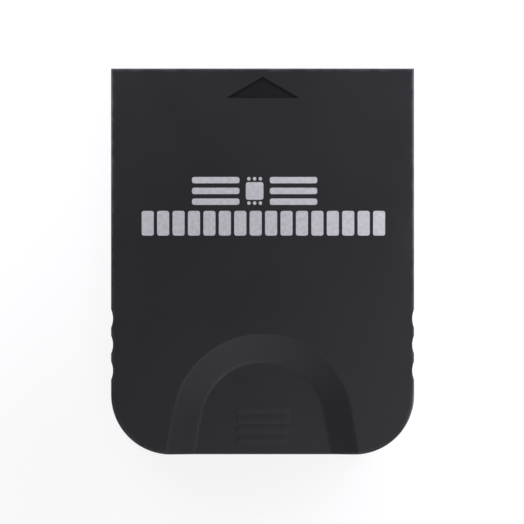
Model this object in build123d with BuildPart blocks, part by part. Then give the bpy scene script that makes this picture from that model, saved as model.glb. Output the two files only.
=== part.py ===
# Console memory card: two-part moulded case, circuit board, edge contacts, chips and one case screw.
# The card lies on its back: +X to the right of the front face, +Y towards the connector end, +Z out of the front.
from build123d import *

import os
from math import cos, radians, sin

os.makedirs("parts", exist_ok=True)

# Case, in millimetres
card_width = 38.0
card_length = 48.4
wall = 1.6
skin = 1.4
lead_corner_radius = 0.5
grip_corner_radius = 7.5
inner_corner_radius = 0.6
rim_round = 0.25
back_bevel = 0.35
seam_bevel = 0.15

# Lip of the back shell in its rebate in the front shell
lip_thickness = 0.7
lip_height = 0.8
lip_clearance = 0.1

# Finger notches on the long edges
notch_count = 3
notch_pitch = 3.26
notch_width = 2.3
notch_depth = 0.25
notch_blend = 0.5
notch_from_grip = 13.8

# Arrow recess at the connector end
arrow_width = 9.2
arrow_height = 2.65
arrow_from_lead = 1.05
arrow_depth = 0.25
arrow_corner = 0.05

# Thumb scoop with its sloped band and grip ridges
scoop_floor_radius = 7.85
scoop_band = 3.35
scoop_from_grip = 3.8
scoop_flare = 10.5
scoop_depth = 1.1
scoop_edge_blend = 1.2
scoop_floor_blend = 1.4
ridge_count = 4
ridge_pitch = 1.27
ridge_length = 7.0
ridge_radius = 3.2
ridge_height = 0.06
ridge_run_out = 0.5
ridge_sink = 0.1

# Connector mouth and circuit board
mouth_height = 2.5
mouth_bevel = 0.3
board_thickness = 1.2
board_standoff = 1.0
board_clearance = 0.3
board_tail = 3.0
tongue_clearance = 0.3
tongue_setback = 0.8
tongue_bevel = 0.3
rail_width = 1.3

# Edge contacts
contact_count = 12
contact_pitch = 2.4
contact_width = 1.6
contact_length = 6.5
contact_thickness = 0.1
contact_setback = 0.4
contact_margin = 0.8

# Stepped posts that locate and clamp the board
post_diameter = 1.8
post_shoulder = 0.8
post_from_side = 4.5
post_from_contacts = 1.6
post_clearance = 0.05
post_tip_gap = 0.2
rib_width = 1.0
rib_length = 4.0
rib_clearance = 0.2

# Chips and small parts on the board
flash_length = 18.4
flash_width = 8.0
flash_height = 1.0
flash_lead_count = 16
flash_lead_pitch = 0.5
flash_lead_width = 0.22
flash_lead_reach = 0.8
controller_side = 7.0
controller_height = 1.4
controller_lead_count = 8
controller_lead_pitch = 0.8
controller_lead_width = 0.36
controller_lead_reach = 1.0
chip_standoff = 0.1
chip_edge_round = 0.2
lead_thickness = 0.14
lead_foot = 0.45
chip_spacing = 0.7
chip_from_posts = 1.0
passive_from_chips = 2.4
passive_pitch = 4.0
passive_length = 1.6
passive_width = 0.8
capacitor_height = 0.8
resistor_height = 0.45

# Case screw, driven from the back
screw_from_grip = 10.0
shank_diameter = 2.0
shank_length = 3.6
head_diameter = 3.6
head_height = 1.1
head_bevel = 0.35
head_sink = 0.4
head_clearance = 0.2
drive_width = 0.5
drive_span = 2.0
drive_depth = 0.6
shank_clearance = 0.2
pilot_fit = 0.01
pilot_spare = 0.3
boss_wall = 1.2
boss_floor = 1.0

# Levels, counted up from the back face
board_bottom = skin + board_standoff
board_top = board_bottom + board_thickness
split_height = board_top
ceiling = board_top + mouth_height
card_thickness = ceiling + skin
scoop_floor = card_thickness - scoop_depth
head_top = head_sink + head_height
boss_joint = head_top + boss_floor
shank_tip = head_top + shank_length

# Chips over their leads
flash_span = flash_length + 2 * flash_lead_reach
controller_span = controller_side + 2 * controller_lead_reach

# Places in plan, from the connector end back to the grip end
lead_end = card_length / 2
grip_end = -card_length / 2
cavity_half_width = card_width / 2 - wall
tongue_end = lead_end - tongue_setback
contact_row_y = tongue_end - contact_setback - contact_length / 2
contact_tail = contact_row_y - contact_length / 2
post_collar_radius = post_diameter / 2 + post_shoulder
post_x = card_width / 2 - post_from_side
post_y = contact_tail - post_from_contacts - post_collar_radius
chip_row_depth = max(flash_width, controller_span)
chip_y = post_y - post_collar_radius - chip_from_posts - chip_row_depth / 2
passive_y = chip_y - chip_row_depth / 2 - passive_from_chips
board_tail_end = passive_y - passive_width / 2 - board_tail
board_lead_end = lead_end - wall - board_clearance
screw_y = grip_end + screw_from_grip
scoop_y = grip_end + scoop_from_grip

# Widths that follow from the contacts
tongue_width = (contact_count - 1) * contact_pitch + contact_width + 2 * contact_margin
mouth_width = tongue_width + 2 * tongue_clearance
board_width = 2 * (cavity_half_width - board_clearance)
chip_row_span = flash_span + chip_spacing + controller_span
flash_x = (flash_span - chip_row_span) / 2
controller_x = (chip_row_span - controller_span) / 2
post_places = [(-post_x, post_y), (post_x, post_y)]


def inset_outline(inset):
    # Outline of the card pulled in by an inset, with its inner corners rounded for moulding
    with BuildSketch() as outline:
        Rectangle(card_width - 2 * inset, card_length - 2 * inset)
        corners = outline.vertices().group_by(Axis.Y)
        fillet(corners[0], grip_corner_radius - inset)
        fillet(corners[-1], inner_corner_radius + wall - inset)
    return outline.sketch


def scoop_outline(radius, overshoot):
    # Round-topped arch with flared legs that run out past the grip end
    flare = radians(scoop_flare)
    leg_drop = radius * sin(flare) + scoop_from_grip + overshoot
    leg_foot = radius * cos(flare) + leg_drop * sin(flare) / cos(flare)
    foot_y = grip_end - overshoot
    with BuildSketch() as outline:
        with BuildLine():
            arch = CenterArc((0, scoop_y), radius, scoop_flare, 180 - 2 * scoop_flare)
            Polyline(arch @ 0, (leg_foot, foot_y), (-leg_foot, foot_y), arch @ 1)
        make_face()
    return outline.sketch


def side_walls(shell):
    # Upright outer walls of a shell
    return shell.faces().filter_by(lambda face: abs(face.normal_at().Z) < 0.01)


def mouth_edges(shell, low, high):
    # Edges of the mouth on the end face, between two levels
    end_edges = shell.edges().filter_by_position(Axis.Y, lead_end, lead_end)
    level_edges = end_edges.filter_by_position(Axis.Z, low, high)
    return level_edges.filter_by_position(Axis.X, -mouth_width / 2, mouth_width / 2)


def gull_lead(reach, shoulder_height, width):
    # Bent chip lead: out of the body's side, slanting down, then flat along the board towards +X
    with BuildPart() as lead:
        with BuildSketch(Plane.XZ):
            with BuildLine():
                Polyline(
                    (0, shoulder_height),
                    (reach - lead_foot, lead_thickness),
                    (reach, lead_thickness),
                    (reach, 0),
                    (reach - lead_foot - lead_thickness, 0),
                    (0, shoulder_height - lead_thickness),
                    close=True,
                )
            make_face()
        extrude(amount=width / 2, both=True)
    return lead.part


# Plain outline of the card, and the same outline with its finger notches
with BuildSketch() as plain_outline:
    Rectangle(card_width, card_length)
    outer_corners = plain_outline.vertices().group_by(Axis.Y)
    fillet(outer_corners[0], grip_corner_radius)
    fillet(outer_corners[-1], lead_corner_radius)

notch_radius = (notch_width**2 / 4 + notch_depth**2) / (2 * notch_depth)
notch_x = card_width / 2 - notch_depth + notch_radius
notch_y = grip_end + notch_from_grip
notch_reach = notch_pitch * (notch_count - 1) / 2 + notch_width

with BuildSketch() as notched_outline:
    add(plain_outline.sketch)
    with Locations((0, notch_y)):
        with GridLocations(2 * notch_x, notch_pitch, 2, notch_count):
            Circle(notch_radius, mode=Mode.SUBTRACT)
    notch_shoulders = notched_outline.vertices().filter_by_position(
        Axis.Y, notch_y - notch_reach, notch_y + notch_reach
    )
    fillet(notch_shoulders, notch_blend)

# Thumb scoop as a solid, once for the face and once for the ceiling under it
scoop_overshoot = scoop_band

with BuildPart() as thumb_scoop:
    with BuildSketch(Plane.XY.offset(scoop_floor)):
        add(scoop_outline(scoop_floor_radius, scoop_overshoot))
    with BuildSketch(Plane.XY.offset(card_thickness)):
        add(scoop_outline(scoop_floor_radius + scoop_band, scoop_overshoot))
    loft(ruled=True)

# Grip ridge: the crest cut from a wide roller with tapered ends, sunk a little into the scoop floor
ridge_root = ridge_height + ridge_sink
crest_end = ridge_length / 2 - ridge_run_out
roller_end = crest_end + 2 * ridge_root * ridge_run_out / ridge_height

with BuildPart() as grip_ridge:
    with BuildSketch(Plane.XZ):
        with BuildLine():
            Polyline(
                (-roller_end, 0),
                (-roller_end, ridge_radius - 2 * ridge_root),
                (-crest_end, ridge_radius),
                (crest_end, ridge_radius),
                (roller_end, ridge_radius - 2 * ridge_root),
                (roller_end, 0),
                close=True,
            )
        make_face()
    revolve(axis=Axis.X)
    split(bisect_by=Plane.XY.offset(ridge_radius - ridge_root))

# Hollow inside the front shell, drawn down under the scoop so that the skin stays even
with BuildPart() as front_hollow:
    with BuildSketch(Plane.XY.offset(split_height)):
        add(inset_outline(wall))
    extrude(amount=ceiling - split_height)
    add(thumb_scoop.part.moved(Location((0, 0, -skin))), mode=Mode.SUBTRACT)
    with BuildSketch(Plane.XY.offset(split_height)):
        add(inset_outline(wall - lip_thickness - lip_clearance))
    extrude(amount=lip_height + lip_clearance)

# Front shell
with BuildPart() as front_shell:
    with BuildSketch(Plane.XY.offset(split_height)):
        add(plain_outline.sketch)
    extrude(amount=card_thickness - split_height)
    add(thumb_scoop.part, mode=Mode.SUBTRACT)
    band_edges = front_shell.edges() - side_walls(front_shell).edges()
    fillet(band_edges.group_by(Axis.Z)[-1], scoop_edge_blend)
    band_edges = front_shell.edges() - side_walls(front_shell).edges()
    fillet(band_edges.filter_by_position(Axis.Z, scoop_floor, scoop_floor), scoop_floor_blend)
    wall_edges = side_walls(front_shell).edges().filter_by(Axis.Z, reverse=True)
    fillet(wall_edges.filter_by(lambda edge: edge.center().Z > split_height), rim_round)
    with BuildSketch(Plane.XY.offset(split_height)):
        add(notched_outline.sketch)
    extrude(amount=card_thickness - split_height, mode=Mode.INTERSECT)
    chamfer(front_shell.faces().sort_by(Axis.Z)[0].edges(), seam_bevel)

    with BuildSketch(Plane.XY.offset(card_thickness)):
        with BuildLine():
            Polyline(
                (-arrow_width / 2, lead_end - arrow_from_lead - arrow_height),
                (arrow_width / 2, lead_end - arrow_from_lead - arrow_height),
                (0, lead_end - arrow_from_lead),
                close=True,
            )
        arrow = make_face()
        fillet(arrow.vertices(), arrow_corner)
    extrude(amount=-arrow_depth, mode=Mode.SUBTRACT)

    with Locations((0, scoop_y, scoop_floor + ridge_height - ridge_radius)):
        with GridLocations(0, ridge_pitch, 1, ridge_count):
            add(grip_ridge.part)

    add(front_hollow.part, mode=Mode.SUBTRACT)

    with BuildSketch(Plane.XZ.offset(-lead_end)):
        with Locations((0, split_height)):
            Rectangle(mouth_width, 2 * mouth_height)
    extrude(amount=wall, mode=Mode.SUBTRACT)
    chamfer(mouth_edges(front_shell, split_height, ceiling), mouth_bevel)

    with BuildSketch(Plane.XY.offset(board_top)):
        with Locations(*post_places):
            Circle(post_collar_radius)
        with Locations((0, board_tail_end + rib_length / 2)):
            with GridLocations(2 * (cavity_half_width - rib_clearance) - rib_width, 0, 2, 1):
                Rectangle(rib_width, rib_length)
    extrude(amount=ceiling - board_top)
    with BuildSketch(Plane.XY.offset(skin + post_tip_gap)):
        with Locations(*post_places):
            Circle(post_diameter / 2)
    extrude(amount=ceiling - skin - post_tip_gap)

    with BuildSketch(Plane.XY.offset(boss_joint)):
        with Locations((0, screw_y)):
            Circle(shank_diameter / 2 + boss_wall)
    extrude(amount=ceiling - boss_joint)
    with BuildSketch(Plane.XY.offset(boss_joint)):
        with Locations((0, screw_y)):
            Circle(shank_diameter / 2 + pilot_fit)
    extrude(amount=shank_tip + pilot_spare - boss_joint, mode=Mode.SUBTRACT)

front_shell.part.label = "front_shell"
export_step(front_shell.part, "parts/front_shell.step")

# Back shell
with BuildPart() as back_shell:
    with BuildSketch():
        add(plain_outline.sketch)
    extrude(amount=split_height)
    chamfer(back_shell.faces().sort_by(Axis.Z)[0].edges(), back_bevel)
    with BuildSketch():
        add(notched_outline.sketch)
    extrude(amount=split_height, mode=Mode.INTERSECT)
    chamfer(back_shell.faces().sort_by(Axis.Z)[-1].edges(), seam_bevel)

    with BuildSketch(Plane.XY.offset(skin)):
        add(inset_outline(wall))
    extrude(amount=split_height - skin, mode=Mode.SUBTRACT)
    with BuildSketch(Plane.XY.offset(split_height)):
        add(inset_outline(wall - lip_thickness))
        add(inset_outline(wall), mode=Mode.SUBTRACT)
    extrude(amount=lip_height)

    with BuildSketch(Plane.XZ.offset(-lead_end)):
        with Locations((0, board_bottom)):
            Rectangle(mouth_width, card_thickness, align=(Align.CENTER, Align.MIN))
    extrude(amount=wall, mode=Mode.SUBTRACT)
    chamfer(mouth_edges(back_shell, board_bottom, split_height), mouth_bevel)

    rail_length = lead_end - wall - board_tail_end
    with BuildSketch(Plane.XY.offset(skin)):
        with Locations((0, board_tail_end + rail_length / 2)):
            with GridLocations(2 * cavity_half_width - rail_width, 0, 2, 1):
                Rectangle(rail_width, rail_length)
        with Locations(*post_places):
            Circle(post_collar_radius)
            Circle(post_diameter / 2 + post_clearance, mode=Mode.SUBTRACT)
    extrude(amount=board_standoff)

    with BuildSketch():
        with Locations((0, screw_y)):
            Circle(head_diameter / 2 + head_clearance + boss_wall)
    extrude(amount=boss_joint)
    with Locations(Location((0, screw_y, 0), (180, 0, 0))):
        CounterBoreHole(
            shank_diameter / 2 + shank_clearance,
            head_diameter / 2 + head_clearance,
            head_top,
        )

back_shell.part.label = "back_shell"
export_step(back_shell.part, "parts/back_shell.step")

# Circuit board with its tongue in the mouth
with BuildPart() as circuit_board:
    with BuildSketch(Plane.XY.offset(board_bottom)):
        with Locations((0, board_tail_end)):
            Rectangle(board_width, board_lead_end - board_tail_end, align=(Align.CENTER, Align.MIN))
            Rectangle(tongue_width, tongue_end - board_tail_end, align=(Align.CENTER, Align.MIN))
        with Locations(*post_places):
            Circle(post_diameter / 2 + post_clearance, mode=Mode.SUBTRACT)
    extrude(amount=board_thickness)
    tongue_face = circuit_board.faces().sort_by(Axis.Y)[-1]
    chamfer(tongue_face.edges().filter_by(Axis.X), tongue_bevel)

circuit_board.part.label = "circuit_board"
export_step(circuit_board.part, "parts/circuit_board.step")

# Edge contacts, one node each
for index in range(contact_count):
    contact_x = (index - (contact_count - 1) / 2) * contact_pitch
    with BuildPart() as contact:
        with BuildSketch(Plane.XY.offset(board_top)):
            with Locations((contact_x, contact_row_y)):
                Rectangle(contact_width, contact_length)
        extrude(amount=contact_thickness)
    contact_name = f"contact_{index + 1:02d}"
    contact.part.label = contact_name
    export_step(contact.part, f"parts/{contact_name}.step")

# Memory chip and its two rows of leads
chip_bottom = board_top + chip_standoff

with BuildPart() as flash_chip:
    with BuildSketch(Plane.XY.offset(chip_bottom)):
        with Locations((flash_x, chip_y)):
            Rectangle(flash_length, flash_width)
    extrude(amount=flash_height)
    chamfer(flash_chip.faces().sort_by(Axis.Z)[-1].edges(), chip_edge_round)

flash_chip.part.label = "flash_chip"
export_step(flash_chip.part, "parts/flash_chip.step")

flash_lead = gull_lead(flash_lead_reach, chip_standoff + flash_height / 2, flash_lead_width)

with BuildPart() as flash_leads:
    with Locations((flash_x + flash_length / 2, chip_y, board_top)):
        with GridLocations(0, flash_lead_pitch, 1, flash_lead_count):
            add(flash_lead)
    with Locations((flash_x - flash_length / 2, chip_y, board_top)):
        with GridLocations(0, flash_lead_pitch, 1, flash_lead_count):
            add(flash_lead, rotation=(0, 0, 180))

flash_leads.part.label = "flash_leads"
export_step(flash_leads.part, "parts/flash_leads.step")

# Interface chip and its four rows of leads
with BuildPart() as controller_chip:
    with BuildSketch(Plane.XY.offset(chip_bottom)):
        with Locations((controller_x, chip_y)):
            Rectangle(controller_side, controller_side)
    extrude(amount=controller_height)
    chamfer(controller_chip.faces().sort_by(Axis.Z)[-1].edges(), chip_edge_round)

controller_chip.part.label = "controller_chip"
export_step(controller_chip.part, "parts/controller_chip.step")

controller_lead = gull_lead(
    controller_lead_reach, chip_standoff + controller_height / 2, controller_lead_width
)

with BuildPart() as controller_leads:
    with Locations((controller_x, chip_y, board_top)):
        with PolarLocations(controller_side / 2, 4):
            with GridLocations(0, controller_lead_pitch, 1, controller_lead_count):
                add(controller_lead)

controller_leads.part.label = "controller_leads"
export_step(controller_leads.part, "parts/controller_leads.step")

# Capacitors at the ends of the small-part row, resistors between them
passive_row = [
    ("capacitor_1", capacitor_height),
    ("capacitor_2", capacitor_height),
    ("resistor_1", resistor_height),
    ("resistor_2", resistor_height),
    ("resistor_3", resistor_height),
    ("capacitor_3", capacitor_height),
    ("capacitor_4", capacitor_height),
]

for index, (passive_name, passive_height) in enumerate(passive_row):
    passive_x = (index - (len(passive_row) - 1) / 2) * passive_pitch
    with BuildPart() as passive:
        with BuildSketch(Plane.XY.offset(board_top)):
            with Locations((passive_x, passive_y)):
                Rectangle(passive_length, passive_width)
        extrude(amount=passive_height)
    passive.part.label = passive_name
    export_step(passive.part, f"parts/{passive_name}.step")

# Case screw with a cross recess in its head
with BuildPart() as case_screw:
    with BuildSketch(Plane.XY.offset(head_sink)):
        with Locations((0, screw_y)):
            Circle(head_diameter / 2)
    extrude(amount=head_height)
    chamfer(case_screw.faces().sort_by(Axis.Z)[0].edges(), head_bevel)
    with BuildSketch(Plane.XY.offset(head_top)):
        with Locations((0, screw_y)):
            Circle(shank_diameter / 2)
    extrude(amount=shank_length)
    with BuildSketch(Plane.XY.offset(head_sink)):
        with Locations((0, screw_y)):
            Rectangle(drive_span, drive_width)
            Rectangle(drive_width, drive_span)
    extrude(amount=drive_depth, mode=Mode.SUBTRACT)

case_screw.part.label = "case_screw"
export_step(case_screw.part, "parts/case_screw.step")
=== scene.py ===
import math

import bpy
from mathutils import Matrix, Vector


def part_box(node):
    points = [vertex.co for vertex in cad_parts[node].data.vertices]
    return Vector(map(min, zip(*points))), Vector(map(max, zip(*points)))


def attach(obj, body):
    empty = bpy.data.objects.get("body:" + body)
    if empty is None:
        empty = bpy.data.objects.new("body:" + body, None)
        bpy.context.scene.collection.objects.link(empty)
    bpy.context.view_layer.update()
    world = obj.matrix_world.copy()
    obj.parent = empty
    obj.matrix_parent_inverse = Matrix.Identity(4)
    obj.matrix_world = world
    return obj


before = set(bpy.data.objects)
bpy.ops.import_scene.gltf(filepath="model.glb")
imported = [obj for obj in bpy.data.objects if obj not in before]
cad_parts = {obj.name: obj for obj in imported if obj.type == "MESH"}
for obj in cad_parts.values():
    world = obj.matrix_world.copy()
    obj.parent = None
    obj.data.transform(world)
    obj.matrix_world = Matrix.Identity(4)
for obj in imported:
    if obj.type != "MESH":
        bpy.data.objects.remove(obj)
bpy.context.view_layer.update()  # packed card, in metres, lying on its back
print("card loaded:", len(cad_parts), "pieces")

mm = 0.001
cardLow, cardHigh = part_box("front_shell")
faceZ = cardHigh.z  # level of the printed face
cardLength = cardHigh.y - cardLow.y
noiseSpan = (0.3, 0.7)  # where nearly all of a noise value lies


# helpers for node trees

def srgb(*levels):  # display levels to linear colour
    shares = [level / 255 for level in levels]
    return tuple(s / 12.92 if s <= 0.04045 else ((s + 0.055) / 1.055) ** 2.4 for s in shares)


def addNode(tree, kind, values=None, **settings):
    node = tree.nodes.new(kind)
    for key, value in settings.items():
        setattr(node, key, value)
    for key, value in (values or {}).items():
        if isinstance(value, bpy.types.NodeSocket):
            tree.links.new(value, node.inputs[key])
        else:
            node.inputs[key].default_value = value
    return node


def newMaterial(name):
    material = bpy.data.materials.new(name)
    material.use_nodes = True
    material.node_tree.nodes.clear()
    return material, material.node_tree


def newFinish(name, **sockets):
    material, tree = newMaterial(name)
    shader = addNode(tree, "ShaderNodeBsdfPrincipled", sockets)
    addNode(tree, "ShaderNodeOutputMaterial", {"Surface": shader.outputs["BSDF"]})
    return material, tree, shader


def connect(tree, shader, colour, rough, relief, depth):  # depth of the relief in mm
    bump = addNode(tree, "ShaderNodeBump", {"Height": relief, "Distance": depth * mm, "Strength": 1.0})
    tree.links.new(colour, shader.inputs["Base Color"])
    tree.links.new(rough, shader.inputs["Roughness"])
    tree.links.new(bump.outputs["Normal"], shader.inputs["Normal"])


def mmCoords(tree, stretch=(1, 1, 1), turn=0.0):
    coords = addNode(tree, "ShaderNodeTexCoord")
    mapping = addNode(tree, "ShaderNodeMapping", {
        "Vector": coords.outputs["Object"],
        "Rotation": (0, 0, math.radians(turn)),
        "Scale": tuple(s / mm for s in stretch),  # one texture unit is one millimetre
    })
    return mapping.outputs["Vector"]


def axes(tree, vector):
    return addNode(tree, "ShaderNodeSeparateXYZ", {"Vector": vector}).outputs


def noise(tree, vector, size, detail=2.0, roughness=0.5):
    values = {"Vector": vector, "Scale": 1 / size, "Detail": detail, "Roughness": roughness}
    return addNode(tree, "ShaderNodeTexNoise", values).outputs["Fac"]


def calc(tree, operation, first, second=0.0):
    return addNode(tree, "ShaderNodeMath", {0: first, 1: second}, operation=operation).outputs[0]


def remap(tree, value, fromSpan, toSpan=(0, 1)):
    values = {"Value": value, "From Min": fromSpan[0], "From Max": fromSpan[1],
              "To Min": toSpan[0], "To Max": toSpan[1]}
    return addNode(tree, "ShaderNodeMapRange", values).outputs["Result"]


def mixValue(tree, factor, first, second):
    return addNode(tree, "ShaderNodeMix", {0: factor, 2: first, 3: second}).outputs[0]


def mixColour(tree, factor, first, second):
    node = addNode(tree, "ShaderNodeMix", {0: factor}, data_type="RGBA")
    for socket, colour in ((node.inputs[6], first), (node.inputs[7], second)):
        if isinstance(colour, bpy.types.NodeSocket):
            tree.links.new(colour, socket)
        else:
            socket.default_value = (*colour, 1)
    return node.outputs[2]


def inside(tree, value, low, high):
    above = calc(tree, "GREATER_THAN", value, low)
    return calc(tree, "MULTIPLY", above, calc(tree, "LESS_THAN", value, high))


def zone(tree, place, spans):  # one where x, y and z each lie in their span
    x, y, z = [inside(tree, value, *span) for value, span in zip(place, spans)]
    return calc(tree, "MULTIPLY", x, calc(tree, "MULTIPLY", y, z))


def dress(names, material):
    for name in names:
        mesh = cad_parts[name].data
        mesh.materials.clear()
        mesh.materials.append(material)


# case: charcoal moulding with a fine spark-eroded grain, smooth in the arrow and darkened there as painted
# shade, paler on worn rims

casePlastic = {  # lengths and places in mm
    "dark": srgb(30, 30, 31),
    "light": srgb(33, 33, 34),
    "cloudSize": 11.0,
    "grainSize": 0.2,
    "grainDepth": 0.009,
    "rough": (0.38, 0.44),
    "scuffLength": 5.0,
    "scuffWidth": 0.07,
    "scuffTurn": 24,  # degrees
    "scuffSpan": (0.66, 0.74),  # noise at which a scuff starts and is full
    "scuffGloss": 0.05,
    "thumbCentre": (0.0, -18.0, 6.4),
    "thumbSpan": (9.0, 2.7),  # distance at which the polish starts and is full
    "thumbGloss": 0.04,
    "arrowZone": ((-4.7, 4.7), (20.3, 23.3), (7.2, 7.3)),
    # painted shade: the arrow recess gets a darker colour than the moulding
    "arrowPaintedShade": srgb(25, 25, 26),
    "arrowRough": 0.3,
    "ridgeZone": ((-3.6, 3.6), (-23.0, -17.8), (6.402, 6.5)),
    "ridgeRough": 0.5,
    "gripCorner": 7.5,  # radius of the outline at the grip end
    "rimRound": 0.25,
    "wearReach": 0.3,
    "wearPatch": 1.4,
    "wearSpan": (0.4, 0.62),  # noise at which a worn patch starts and is full
    "wearColour": srgb(56, 56, 58),
    "wearGloss": 0.07,
}


def rimDistance(tree, place):  # mm from the card's outline inwards, seen from the front
    corner = casePlastic["gripCorner"]
    pastX = calc(tree, "SUBTRACT", calc(tree, "ABSOLUTE", place["X"]), cardHigh.x / mm - corner)
    pastY = calc(tree, "SUBTRACT", cardLow.y / mm + corner, place["Y"])
    past = addNode(tree, "ShaderNodeCombineXYZ", {
        "X": calc(tree, "MAXIMUM", pastX, 0.0),
        "Y": calc(tree, "MAXIMUM", pastY, 0.0),
    })
    length = addNode(tree, "ShaderNodeVectorMath", {0: past.outputs[0]}, operation="LENGTH")
    grip = calc(tree, "SUBTRACT", corner, length.outputs["Value"])
    return calc(tree, "MINIMUM", grip, calc(tree, "SUBTRACT", cardHigh.y / mm, place["Y"]))


def rimWear(tree, vector, place):  # one on the front and back rims, in patches
    look = casePlastic
    top = faceZ / mm
    rim = look["rimRound"]
    reach = rim + look["wearReach"]
    near = remap(tree, rimDistance(tree, place), (rim, reach), (1, 0))
    front = remap(tree, place["Z"], (top - reach, top - rim))
    back = remap(tree, place["Z"], (reach, rim))
    rims = calc(tree, "MULTIPLY", near, calc(tree, "MAXIMUM", front, back))
    patches = noise(tree, vector, look["wearPatch"], detail=4, roughness=0.6)
    return calc(tree, "MULTIPLY", rims, remap(tree, patches, look["wearSpan"]))


def makeCasePlastic():
    look = casePlastic
    material, tree, shader = newFinish("casePlastic")
    vector = mmCoords(tree)
    place = axes(tree, vector)
    clouds = noise(tree, vector, look["cloudSize"], detail=3)
    grain = noise(tree, vector, look["grainSize"], detail=3, roughness=0.6)
    length, width = look["scuffLength"], look["scuffWidth"]
    streaks = mmCoords(tree, (1 / length, 1 / width, 1 / width), turn=look["scuffTurn"])
    scuffs = remap(tree, noise(tree, streaks, 1.0, detail=1), look["scuffSpan"])
    away = addNode(tree, "ShaderNodeVectorMath", {0: vector, 1: look["thumbCentre"]}, operation="DISTANCE")
    thumb = remap(tree, away.outputs["Value"], look["thumbSpan"])
    wear = rimWear(tree, vector, place)
    arrow = zone(tree, place, look["arrowZone"])
    ridges = zone(tree, place, look["ridgeZone"])
    colour = mixColour(tree, clouds, look["dark"], look["light"])
    # painted shade: the arrow recess is darkened in the colour
    colour = mixColour(tree, arrow, colour, look["arrowPaintedShade"])
    colour = mixColour(tree, wear, colour, look["wearColour"])
    rough = remap(tree, clouds, noiseSpan, look["rough"])
    for mask, gloss in ((scuffs, "scuffGloss"), (thumb, "thumbGloss"), (wear, "wearGloss")):
        rough = calc(tree, "SUBTRACT", rough, calc(tree, "MULTIPLY", mask, look[gloss]))
    rough = mixValue(tree, ridges, rough, look["ridgeRough"])
    rough = mixValue(tree, arrow, rough, look["arrowRough"])
    relief = calc(tree, "MULTIPLY", grain, calc(tree, "SUBTRACT", 1.0, arrow))
    connect(tree, shader, colour, rough, relief, look["grainDepth"])
    return material


dress(["front_shell", "back_shell"], makeCasePlastic())
print("case finished")

# circuit board: solder mask with tracks on both faces, bare glass fibre at the edges

boardLaminate = {  # lengths in mm
    "mask": (0.012, 0.105, 0.045),
    "maskThickness": 0.02,
    "track": (0.03, 0.19, 0.075),
    "trackPitch": 1.2,
    "trackShare": 0.45,
    "trackHeight": 0.02,
    "wanderSize": 6.0,
    "wanderStretch": (0.02, 1, 1),
    "fibre": (0.33, 0.27, 0.12),
    "fibreShade": (0.2475, 0.2025, 0.09),
    "weaveSize": 0.5,
    "weaveBend": 1.5,
    "mottleSize": 0.4,
    "rough": (0.28, 0.4),
}


def makeBoardLaminate():
    look = boardLaminate
    low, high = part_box("circuit_board")
    material, tree, shader = newFinish("boardLaminate")
    vector = mmCoords(tree)
    place = axes(tree, vector)
    half = look["trackPitch"] / 2
    bends = noise(tree, mmCoords(tree, look["wanderStretch"]), look["wanderSize"])
    wander = calc(tree, "MULTIPLY", bends, look["trackPitch"])
    across = calc(tree, "PINGPONG", calc(tree, "ADD", place["X"], wander), half)
    track = calc(tree, "LESS_THAN", across, half * look["trackShare"])
    skin = look["maskThickness"]
    edge = inside(tree, place["Z"], low.z / mm + skin, high.z / mm - skin)
    waves = {"Vector": vector, "Scale": 1 / look["weaveSize"], "Distortion": look["weaveBend"]}
    weave = addNode(tree, "ShaderNodeTexWave", waves, bands_direction="Z").outputs["Fac"]
    fibre = mixColour(tree, weave, look["fibre"], look["fibreShade"])
    face = mixColour(tree, track, look["mask"], look["track"])
    colour = mixColour(tree, edge, face, fibre)
    rough = remap(tree, noise(tree, vector, look["mottleSize"]), noiseSpan, look["rough"])
    connect(tree, shader, colour, rough, track, look["trackHeight"])
    return material


dress(["circuit_board"], makeBoardLaminate())

# edge contacts: gold over copper, with the wipe marks of the console's springs

contactGold = {  # lengths in mm
    "gold": (0.86, 0.6, 0.22),
    "worn": (0.78, 0.56, 0.25),
    "metallic": 0.75,
    "pitch": 2.4,
    "wipeHalf": 0.28,
    "streakSize": 0.12,
    "streakStretch": (1, 0.04, 1),
    "streakDepth": 0.002,
    "rough": (0.34, 0.5),
    "roughSpan": (0.3, 1.3),  # streaks and wipe marks added up
}


def makeContactGold(firstContact):
    look = contactGold
    low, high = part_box(firstContact)
    middle = (low.x + high.x) / 2 / mm
    material, tree, shader = newFinish("contactGold", Metallic=look["metallic"])
    x = axes(tree, mmCoords(tree))["X"]
    offset = calc(tree, "PINGPONG", calc(tree, "SUBTRACT", x, middle), look["pitch"] / 2)
    streak = noise(tree, mmCoords(tree, look["streakStretch"]), look["streakSize"], detail=3)
    wipe = calc(tree, "MULTIPLY", calc(tree, "LESS_THAN", offset, look["wipeHalf"]), streak)
    colour = mixColour(tree, wipe, look["gold"], look["worn"])
    rough = remap(tree, calc(tree, "ADD", streak, wipe), look["roughSpan"], look["rough"])
    connect(tree, shader, colour, rough, streak, look["streakDepth"])
    return material


contactNames = sorted(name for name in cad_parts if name.startswith("contact_"))
dress(contactNames, makeContactGold(contactNames[0]))
print("board and", len(contactNames), "contacts finished")

# chips, leads and the small parts beside them

chipResin = {  # lengths in mm
    "dark": (0.010, 0.010, 0.011),
    "light": (0.022, 0.022, 0.024),
    "grainSize": 0.12,
    "grainDepth": 0.006,
    "rough": (0.5, 0.66),
}


def makeChipResin():
    look = chipResin
    material, tree, shader = newFinish("chipResin")
    grain = noise(tree, mmCoords(tree), look["grainSize"], detail=4, roughness=0.65)
    colour = mixColour(tree, grain, look["dark"], look["light"])
    connect(tree, shader, colour, remap(tree, grain, noiseSpan, look["rough"]), grain, look["grainDepth"])
    return material


leadTin = {  # lengths in mm
    "bright": (0.74, 0.73, 0.70),
    "dull": (0.55, 0.55, 0.53),
    "grainSize": 0.3,
    "grainDepth": 0.004,
    "rough": (0.22, 0.42),
}


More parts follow.
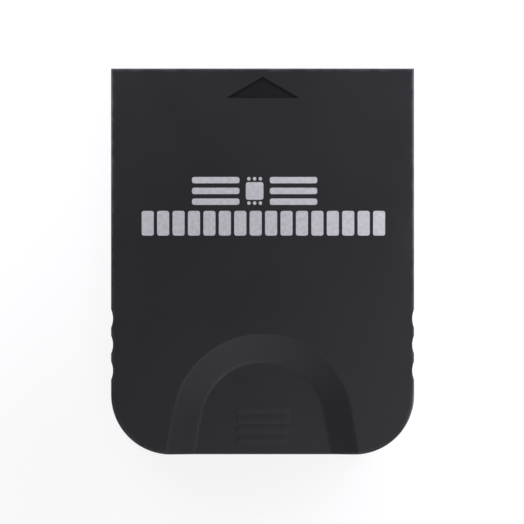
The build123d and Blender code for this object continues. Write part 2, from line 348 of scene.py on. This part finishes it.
def makeLeadTin():
    look = leadTin
    material, tree, shader = newFinish("leadTin", Metallic=1.0)
    grain = noise(tree, mmCoords(tree), look["grainSize"], detail=4)
    colour = mixColour(tree, grain, look["bright"], look["dull"])
    connect(tree, shader, colour, remap(tree, grain, noiseSpan, look["rough"]), grain, look["grainDepth"])
    return material


passiveParts = {  # lengths in mm
    "capacitor": ((0.36, 0.23, 0.13), (0.46, 0.31, 0.18)),
    "resistor": ((0.012, 0.012, 0.014), (0.03, 0.03, 0.034)),
    "tin": (0.68, 0.67, 0.64),
    "pitch": 4.0,
    "endFrom": 0.48,  # from the middle of a part to its tinned end
    "grainSize": 0.15,
    "grainDepth": 0.006,
    "rough": (0.3, 0.5),
}


def makePassive(kind):
    look = passiveParts
    material, tree, shader = newFinish(kind + "Body")
    vector = mmCoords(tree)
    offset = calc(tree, "PINGPONG", axes(tree, vector)["X"], look["pitch"] / 2)
    tinned = calc(tree, "GREATER_THAN", offset, look["endFrom"])
    grain = noise(tree, vector, look["grainSize"], detail=4)
    colour = mixColour(tree, tinned, mixColour(tree, grain, *look[kind]), look["tin"])
    rough = remap(tree, grain, noiseSpan, look["rough"])
    connect(tree, shader, colour, rough, calc(tree, "ADD", grain, tinned), look["grainDepth"])
    tree.links.new(tinned, shader.inputs["Metallic"])
    return material


dress(["flash_chip", "controller_chip"], makeChipResin())
dress(["flash_leads", "controller_leads"], makeLeadTin())
for kind in ("capacitor", "resistor"):
    dress([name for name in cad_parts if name.startswith(kind)], makePassive(kind))

# case screw: plated steel with turning marks round its axis

screwSteel = {  # lengths in mm
    "bright": (0.6, 0.6, 0.58),
    "dull": (0.42, 0.42, 0.41),
    "stainSize": 0.6,
    "ringPitch": 0.06,
    "ringDepth": 0.003,
    "rough": (0.24, 0.4),
}


def makeScrewSteel():
    look = screwSteel
    low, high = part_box("case_screw")
    axis = ((low.x + high.x) / 2 / mm, (low.y + high.y) / 2 / mm, 0)
    material, tree, shader = newFinish("screwSteel", Metallic=1.0)
    vector = mmCoords(tree)
    flat = addNode(tree, "ShaderNodeVectorMath", {0: vector, 1: (1, 1, 0)}, operation="MULTIPLY")
    radius = addNode(tree, "ShaderNodeVectorMath", {0: flat.outputs[0], 1: axis}, operation="DISTANCE")
    rings = calc(tree, "PINGPONG", radius.outputs["Value"], look["ringPitch"] / 2)
    stain = noise(tree, vector, look["stainSize"], detail=4)
    colour = mixColour(tree, stain, look["bright"], look["dull"])
    rough = remap(tree, stain, noiseSpan, look["rough"])
    connect(tree, shader, colour, rough, calc(tree, "DIVIDE", rings, look["ringPitch"]), look["ringDepth"])
    return material


dress(["case_screw"], makeScrewSteel())
print("chips, small parts and screw finished")

# print on the face: plain ink blocks in two rows, a chip sign with data lines above a storage gauge

printInk = {  # lengths in mm
    "ink": srgb(197, 198, 197),
    "thin": srgb(182, 183, 183),
    "mottleSize": 0.5,
    "coverSpan": (0.35, 0.6),  # noise at which the ink starts to cover and is full
    "grainSize": 0.17,
    "grainDepth": 0.002,
    "rough": (0.42, 0.55),
}


def makePrintInk():
    look = printInk
    material, tree, shader = newFinish("printInk")
    vector = mmCoords(tree)
    mottle = noise(tree, vector, look["mottleSize"], detail=4, roughness=0.6)
    grain = noise(tree, vector, look["grainSize"], detail=3, roughness=0.6)
    colour = mixColour(tree, remap(tree, mottle, look["coverSpan"]), look["thin"], look["ink"])
    connect(tree, shader, colour, remap(tree, grain, noiseSpan, look["rough"]), grain, look["grainDepth"])
    return material


facePrint = {  # lengths and places in mm
    "thickness": 0.012,
    "corner": 0.28,
    "cornerShare": 0.49,  # most that a corner takes of a block's short side
    "cornerSteps": 6,
    "weld": 0.0001,
    "chipRow": {
        "middle": (-1.0, 8.85), "body": 2.2,
        "pins": 3, "pinLength": 0.45, "pinWidth": 0.42, "pinPitch": 0.72, "pinGap": 0.2,
        "lines": 3, "lineLength": 5.95, "lineHeight": 0.8, "linePitch": 1.35, "lineGap": 0.8,
    },
    "gaugeRow": {"middle": (0.1, 4.8), "length": 30.5, "height": 3.1, "blocks": 16, "gap": 0.42},
}


def makeBlockTree():
    tree = bpy.data.node_groups.new("inkBlocks", "GeometryNodeTree")
    inputs = {
        "Count": "NodeSocketInt", "Start": "NodeSocketVector", "Step": "NodeSocketVector",
        "Width": "NodeSocketFloat", "Height": "NodeSocketFloat", "Corner": "NodeSocketFloat",
        "Thickness": "NodeSocketFloat", "Ink": "NodeSocketMaterial",
    }
    tree.interface.new_socket("Geometry", in_out="OUTPUT", socket_type="NodeSocketGeometry")
    for name, kind in inputs.items():
        tree.interface.new_socket(name, in_out="INPUT", socket_type=kind)
    sizes = addNode(tree, "NodeGroupInput").outputs
    outline = addNode(tree, "GeometryNodeCurvePrimitiveQuadrilateral",
                      {"Width": sizes["Width"], "Height": sizes["Height"]})
    corners = {"Curve": outline.outputs[0], "Count": facePrint["cornerSteps"],
               "Radius": sizes["Corner"], "Limit Radius": True}
    rounded = addNode(tree, "GeometryNodeFilletCurve", corners, mode="POLY")
    base = addNode(tree, "GeometryNodeFillCurve", {"Curve": rounded.outputs[0]}, mode="NGONS")
    raised = addNode(tree, "GeometryNodeExtrudeMesh",
                     {"Mesh": base.outputs[0], "Offset Scale": sizes["Thickness"], "Individual": False})
    under = addNode(tree, "GeometryNodeFlipFaces", {"Mesh": base.outputs[0]})
    both = addNode(tree, "GeometryNodeJoinGeometry")
    tree.links.new(raised.outputs[0], both.inputs[0])
    tree.links.new(under.outputs[0], both.inputs[0])
    block = addNode(tree, "GeometryNodeMergeByDistance",
                    {"Geometry": both.outputs[0], "Distance": facePrint["weld"] * mm})
    line = addNode(tree, "GeometryNodeMeshLine",
                   {"Count": sizes["Count"], "Start Location": sizes["Start"], "Offset": sizes["Step"]})
    row = addNode(tree, "GeometryNodeInstanceOnPoints",
                  {"Points": line.outputs[0], "Instance": block.outputs[0]})
    solid = addNode(tree, "GeometryNodeRealizeInstances", {"Geometry": row.outputs[0]})
    inked = addNode(tree, "GeometryNodeSetMaterial",
                    {"Geometry": solid.outputs[0], "Material": sizes["Ink"]})
    output = addNode(tree, "NodeGroupOutput")
    tree.links.new(inked.outputs[0], output.inputs[0])
    return tree


def printRows():
    chip, gauge = facePrint["chipRow"], facePrint["gaugeRow"]
    middleX, middleY = chip["middle"]
    half = chip["body"] / 2
    pinX = middleX - chip["pinPitch"] * (chip["pins"] - 1) / 2
    pinY = half + chip["pinGap"] + chip["pinLength"] / 2
    lineX = half + chip["lineGap"] + chip["lineLength"] / 2
    lineY = middleY - chip["linePitch"] * (chip["lines"] - 1) / 2
    rows = [{"start": chip["middle"], "size": (chip["body"], chip["body"])}]
    for side in (-1, 1):
        rows.append({"count": chip["pins"], "start": (pinX, middleY + side * pinY),
                     "step": (chip["pinPitch"], 0), "size": (chip["pinWidth"], chip["pinLength"])})
        rows.append({"count": chip["lines"], "start": (middleX + side * lineX, lineY),
                     "step": (0, chip["linePitch"]), "size": (chip["lineLength"], chip["lineHeight"])})
    pitch = (gauge["length"] + gauge["gap"]) / gauge["blocks"]
    first = gauge["middle"][0] - pitch * (gauge["blocks"] - 1) / 2
    rows.append({"count": gauge["blocks"], "start": (first, gauge["middle"][1]), "step": (pitch, 0),
                 "size": (pitch - gauge["gap"], gauge["height"])})
    return rows


def evaluateRow(tree, ink, row):
    holder = bpy.data.objects.new("inkRow", bpy.data.meshes.new("inkRow"))
    bpy.context.scene.collection.objects.link(holder)
    modifier = holder.modifiers.new("inkBlocks", "NODES")
    modifier.node_group = tree
    x, y = row["start"]
    stepX, stepY = row.get("step", (0, 0))
    width, height = row["size"]
    corner = min(facePrint["corner"], facePrint["cornerShare"] * min(width, height))
    values = {
        "Count": row.get("count", 1),
        "Start": (x * mm, y * mm, faceZ),
        "Step": (stepX * mm, stepY * mm, 0.0),
        "Width": width * mm,
        "Height": height * mm,
        "Corner": corner * mm,
        "Thickness": facePrint["thickness"] * mm,
        "Ink": ink,
    }
    for item in tree.interface.items_tree:
        if item.in_out == "INPUT":
            modifier[item.identifier] = values[item.name]
    graph = bpy.context.evaluated_depsgraph_get()
    mesh = bpy.data.meshes.new_from_object(holder.evaluated_get(graph))
    bpy.data.objects.remove(holder)
    return mesh


def makeFacePrint():
    ink = makePrintInk()
    tree = makeBlockTree()
    points, faces = [], []
    for row in printRows():
        mesh = evaluateRow(tree, ink, row)
        first = len(points)
        points += [tuple(v.co) for v in mesh.vertices]
        faces += [[first + i for i in p.vertices] for p in mesh.polygons]
        bpy.data.meshes.remove(mesh)
    mesh = bpy.data.meshes.new("facePrint")
    mesh.from_pydata(points, [], faces)
    mesh.materials.append(ink)
    piece = bpy.data.objects.new("facePrint", mesh)
    bpy.context.scene.collection.objects.link(piece)
    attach(piece, "root")
    return piece


inkPiece = makeFacePrint()
print("print laid on the face:", len(inkPiece.data.polygons), "faces")

# studio: white floor turning up into a low wall, soft lamps close round the card

studioFloor = {  # lengths in metres
    "drop": 0.00003,  # under the card's back, so that the two never share a plane
    "floorRadius": 0.9,
    "coveRadius": 0.3,
    "coveSteps": 8,
    "wallHeight": 0.55,
    "turnSteps": 64,
    "plain": 0.8,  # what the floor throws back on the card
    "shown": 0.26,  # share of lamp light in what is seen of it
    "glow": 0.82,
}


def makeFloorWhite():
    look = studioFloor
    material, tree = newMaterial("floorWhite")
    path = addNode(tree, "ShaderNodeLightPath").outputs
    seen = calc(tree, "MAXIMUM", path["Is Camera Ray"], path["Is Glossy Ray"])
    seen = calc(tree, "MAXIMUM", seen, path["Is Transmission Ray"])
    plain = addNode(tree, "ShaderNodeBsdfDiffuse", {"Color": (*[look["plain"]] * 3, 1)})
    shown = addNode(tree, "ShaderNodeBsdfDiffuse", {"Color": (*[look["shown"]] * 3, 1)})
    glow = addNode(tree, "ShaderNodeEmission", {"Color": (1, 1, 1, 1), "Strength": look["glow"]})
    lit = addNode(tree, "ShaderNodeAddShader", {0: shown.outputs[0], 1: glow.outputs[0]})
    mixed = addNode(tree, "ShaderNodeMixShader", {0: seen, 1: plain.outputs[0], 2: lit.outputs[0]})
    addNode(tree, "ShaderNodeOutputMaterial", {"Surface": mixed.outputs[0]})
    return material


def makeFloor():
    look = studioFloor
    flatEnd, cove = look["floorRadius"], look["coveRadius"]
    profile = [(flatEnd, 0.0)]
    for step in range(1, look["coveSteps"] + 1):
        angle = math.radians(90 * step / look["coveSteps"])
        profile.append((flatEnd + cove * math.sin(angle), cove * (1 - math.cos(angle))))
    profile.append((flatEnd + cove, look["wallHeight"]))
    count = look["turnSteps"]
    points = [(0.0, 0.0, -look["drop"])]
    for radius, height in profile:
        for step in range(count):
            angle = 2 * math.pi * step / count
            points.append((radius * math.cos(angle), radius * math.sin(angle), height - look["drop"]))
    faces = [(0, 1 + step, 1 + (step + 1) % count) for step in range(count)]
    for ring in range(len(profile) - 1):
        low, high = 1 + ring * count, 1 + (ring + 1) * count
        for step in range(count):
            after = (step + 1) % count
            faces.append((low + step, high + step, high + after, low + after))
    mesh = bpy.data.meshes.new("studioFloor")
    mesh.from_pydata(points, [], faces)
    mesh.polygons.foreach_set("use_smooth", [True] * len(mesh.polygons))
    mesh.materials.append(makeFloorWhite())
    floor = bpy.data.objects.new("studioFloor", mesh)
    bpy.context.scene.collection.objects.link(floor)


makeFloor()

lampTint = (0.99, 0.97, 1.08)  # cool daylight
lamps = {  # place, width and height in mm, power in watts
    "topLow": {"place": (0, 52, 24), "size": (70, 18), "power": 0.0105},
    "topLeft": {"place": (-51, 29, 37), "size": (56, 26), "power": 0.0204},
    "topRight": {"place": (51, 29, 37), "size": (56, 26), "power": 0.0211},
    "rightLow": {"place": (50, -4, 22), "size": (60, 18), "power": 0.0188},
    "frontMiddle": {"place": (0, -71, 63), "size": (44, 44), "power": 0.0043},
    "frontLeft": {"place": (-35, -61, 63), "size": (44, 44), "power": 0.0041},
    "frontHigh": {"place": (40, -69, 158), "size": (60, 60), "power": 0.0227},
    "overhead": {"place": (0, -47, 171), "size": (60, 60), "power": 0.0074},
}
worldGrey = 0.06


def addLamp(name, setup):
    lamp = bpy.data.lights.new(name, "AREA")
    lamp.shape = "RECTANGLE"
    lamp.size, lamp.size_y = (s * mm for s in setup["size"])
    lamp.energy = setup["power"]
    lamp.color = lampTint
    light = bpy.data.objects.new(name, lamp)
    place = Vector(setup["place"]) * mm
    light.location = place
    light.rotation_euler = (Vector((0, 0, faceZ)) - place).to_track_quat("-Z", "Y").to_euler()
    light.visible_camera = False
    bpy.context.scene.collection.objects.link(light)


for name, setup in lamps.items():
    addLamp(name, setup)

world = bpy.data.worlds.new("studioWorld")
bpy.context.scene.world = world
world.use_nodes = True
backdrop = world.node_tree.nodes["Background"]
backdrop.inputs["Color"].default_value = (*lampTint, 1)
backdrop.inputs["Strength"].default_value = worldGrey
bpy.context.scene.view_settings.view_transform = "Standard"
print("studio lit by", len(lamps), "lamps")

# camera: straight down on the face

photoView = {
    "frameSize": 524,  # pixels
    "cardLength": 386.3,  # pixels from end to end
    "cardCentre": (262.6, 261.55),  # pixels from the left and from the top
    "distance": 0.6,  # metres
    "sensor": 36,  # mm
}


def addCamera():
    camera = bpy.data.cameras.new("faceCamera")
    view = bpy.data.objects.new("faceCamera", camera)
    bpy.context.scene.collection.objects.link(view)
    pixel = cardLength / photoView["cardLength"]
    half = photoView["frameSize"] / 2
    centreX, centreY = photoView["cardCentre"]
    view.location = ((half - centreX) * pixel, (centreY - half) * pixel, faceZ + photoView["distance"])
    camera.sensor_width = photoView["sensor"]
    camera.lens = photoView["sensor"] * photoView["distance"] / (pixel * photoView["frameSize"])
    bpy.context.scene.camera = view


addCamera()
print("camera set")
